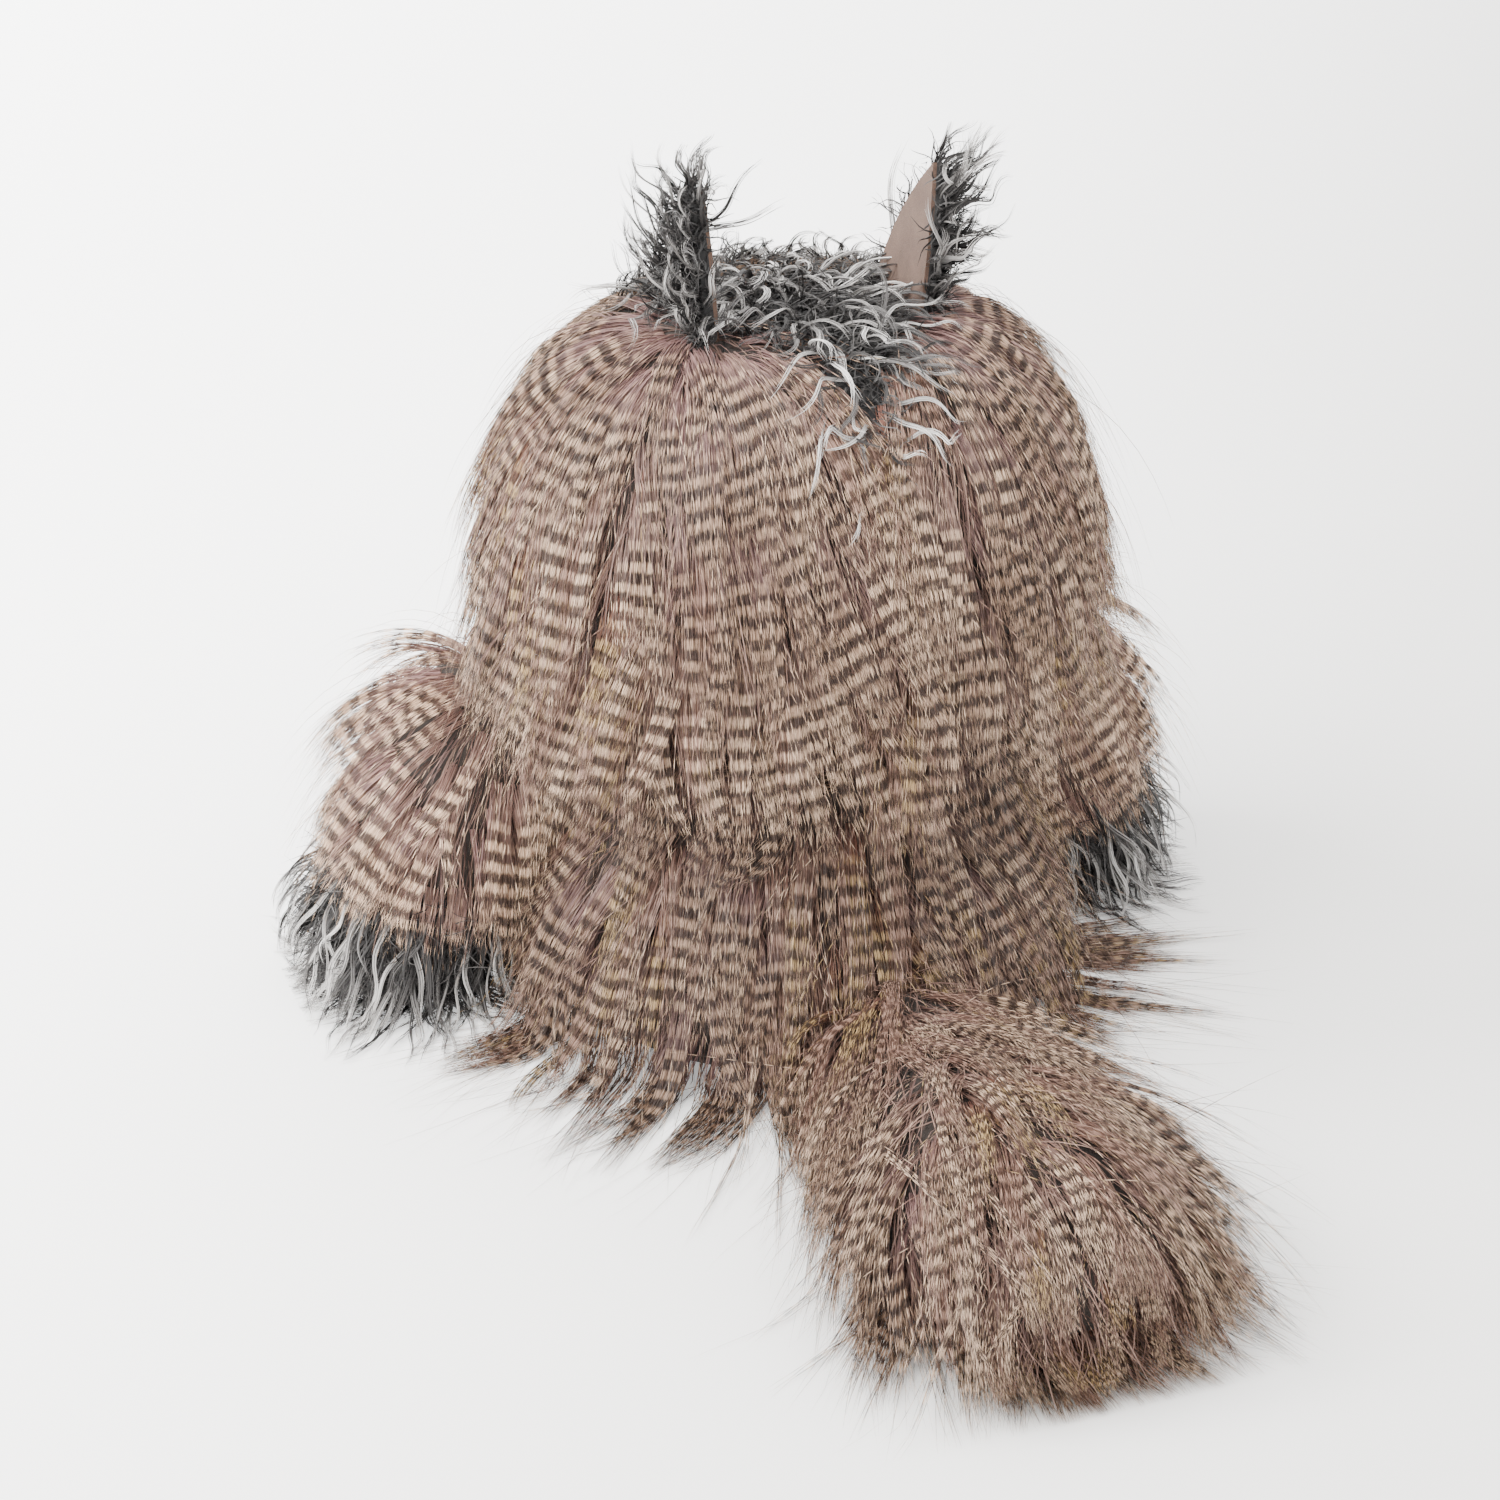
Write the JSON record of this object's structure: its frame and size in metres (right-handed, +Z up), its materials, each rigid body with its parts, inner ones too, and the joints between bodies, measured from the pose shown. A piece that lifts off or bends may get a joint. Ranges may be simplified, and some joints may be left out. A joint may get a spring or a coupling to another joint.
{
  "type": "stuffed toy animal",
  "caption": "Sitting stuffed animal of striped long-pile faux fur with curly grey paws, upright ears and a long tail; head, arms, legs and tail move.",
  "frame": {"origin": "on the floor under the middle of the seat, on the axis that the head turns about", "axes": "+Z up, -Y the way the animal faces, +X its left"},
  "size_m": [0.4302, 0.582, 0.4098],
  "materials": {
    "striped_fur": "matte",
    "curly_fur": "matte",
    "short_fur": "matte",
    "suede": "matte",
    "base_cloth": "matte",
    "fibrefill": "matte",
    "pellet_cloth": "matte",
    "webbing": "matte",
    "joint_plastic": "matte",
    "eye_plastic": "gloss",
    "nose_plastic": "satin"
  },
  "bodies": {
    "torso": {"torso_back_left": "striped_fur", "torso_back_right": "striped_fur", "torso_belly": "short_fur", "torso_base": "base_cloth", "torso_stuffing": "fibrefill", "seat_pellet_bag": "pellet_cloth", "neck_disc": "joint_plastic", "left_shoulder_disc": "joint_plastic", "right_shoulder_disc": "joint_plastic", "tail_tab": "webbing", "left_leg_tab": "webbing", "right_leg_tab": "webbing"},
    "head": {"head_back_left": "striped_fur", "head_back_right": "striped_fur", "crown_gusset": "curly_fur", "face_panel": "short_fur", "head_stuffing": "fibrefill", "muzzle": "short_fur", "nose": "nose_plastic", "nose_washer": "joint_plastic", "left_eye": "eye_plastic", "right_eye": "eye_plastic", "left_eye_washer": "joint_plastic", "right_eye_washer": "joint_plastic", "left_ear_back": "curly_fur", "left_ear_lining": "suede", "right_ear_back": "curly_fur", "right_ear_lining": "suede", "neck_stem_disc": "joint_plastic", "neck_washer": "joint_plastic"},
    "left_arm": {"left_arm_sleeve": "striped_fur", "left_paw": "curly_fur", "left_palm_pad": "suede", "left_arm_stuffing": "fibrefill", "left_shoulder_stem_disc": "joint_plastic", "left_shoulder_washer": "joint_plastic"},
    "right_arm": {"right_arm_sleeve": "striped_fur", "right_paw": "curly_fur", "right_palm_pad": "suede", "right_arm_stuffing": "fibrefill", "right_shoulder_stem_disc": "joint_plastic", "right_shoulder_washer": "joint_plastic"},
    "left_leg": {"left_leg_cover": "striped_fur", "left_foot": "curly_fur", "left_sole_pad": "suede", "left_leg_stuffing": "fibrefill"},
    "right_leg": {"right_leg_cover": "striped_fur", "right_foot": "curly_fur", "right_sole_pad": "suede", "right_leg_stuffing": "fibrefill"},
    "tail": {"tail_cover": "striped_fur", "tail_stuffing": "fibrefill"}
  },
  "joints": [
    {"name": "neck_turn", "type": "hinge", "parent": "torso", "child": "head", "pos_m": [0, 0, 0.1704], "axis": [0, 0, 1], "range_deg": [-40, 40]},
    {"name": "left_shoulder_swing", "type": "hinge", "parent": "torso", "child": "left_arm", "pos_m": [0.098, -0.04, 0.126], "axis": [-1, 0, 0], "range_deg": [-35, 100]},
    {"name": "left_leg_lift", "type": "hinge", "parent": "torso", "child": "left_leg", "pos_m": [0.058, -0.14136, 0.033], "axis": [-1, 0, 0], "range_deg": [0, 30]},
    {"name": "right_shoulder_swing", "type": "hinge", "parent": "torso", "child": "right_arm", "pos_m": [-0.098, -0.04, 0.126], "axis": [-1, 0, 0], "range_deg": [-35, 100]},
    {"name": "right_leg_lift", "type": "hinge", "parent": "torso", "child": "right_leg", "pos_m": [-0.058, -0.14136, 0.033], "axis": [-1, 0, 0], "range_deg": [0, 30]},
    {"name": "tail_swing", "type": "hinge", "parent": "torso", "child": "tail", "pos_m": [0, 0.1558, 0.038], "axis": [0, 0, 1], "range_deg": [-25, 25]}
  ]
}
